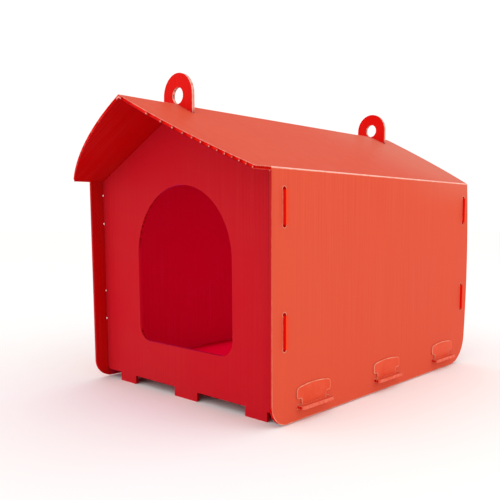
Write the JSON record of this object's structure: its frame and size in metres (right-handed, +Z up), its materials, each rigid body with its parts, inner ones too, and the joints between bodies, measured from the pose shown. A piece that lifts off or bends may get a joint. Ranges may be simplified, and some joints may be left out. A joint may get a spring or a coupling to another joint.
{
  "type": "animal house",
  "caption": "Flat-pack animal house of folded twin-wall plastic sheet: gabled roof with curved ends, arched doorway, hanging eyes on the ridge and lift-out floor lock keys.",
  "frame": {"origin": "on the ground, midway between the walls and midway along the ridge", "axes": "+X to the right-hand wall, +Y from the doorway to the back, +Z up"},
  "size_m": [0.474, 0.728, 0.5284],
  "materials": {
    "shell_sheet": "red twin-wall polypropylene sheet, satin, fine flute lines",
    "end_panel_sheet": "the same sheet, flutes upright, cut edges paler",
    "floor_sheet": "the same sheet, flutes along the floor",
    "lock_key_sheet": "thin solid polypropylene sheet, satin, paler cut edges"
  },
  "bodies": {
    "house": {"wall_left": "shell_sheet", "wall_right": "shell_sheet", "roof_left": "shell_sheet", "roof_right": "shell_sheet", "front_panel": "end_panel_sheet", "back_panel": "end_panel_sheet", "floor": "floor_sheet"},
    "key_left_front": {"key_left_front": "lock_key_sheet"},
    "key_left_middle": {"key_left_middle": "lock_key_sheet"},
    "key_left_back": {"key_left_back": "lock_key_sheet"},
    "key_right_front": {"key_right_front": "lock_key_sheet"},
    "key_right_middle": {"key_right_middle": "lock_key_sheet"},
    "key_right_back": {"key_right_back": "lock_key_sheet"}
  },
  "joints": [
    {"name": "key_left_front_lift", "type": "slide", "parent": "house", "child": "key_left_front", "axis": [0, 0, 1], "range_m": [0, 0.02]},
    {"name": "key_left_middle_lift", "type": "slide", "parent": "house", "child": "key_left_middle", "axis": [0, 0, 1], "range_m": [0, 0.02]},
    {"name": "key_left_back_lift", "type": "slide", "parent": "house", "child": "key_left_back", "axis": [0, 0, 1], "range_m": [0, 0.02]},
    {"name": "key_right_front_lift", "type": "slide", "parent": "house", "child": "key_right_front", "axis": [0, 0, 1], "range_m": [0, 0.02]},
    {"name": "key_right_middle_lift", "type": "slide", "parent": "house", "child": "key_right_middle", "axis": [0, 0, 1], "range_m": [0, 0.02]},
    {"name": "key_right_back_lift", "type": "slide", "parent": "house", "child": "key_right_back", "axis": [0, 0, 1], "range_m": [0, 0.02]}
  ]
}
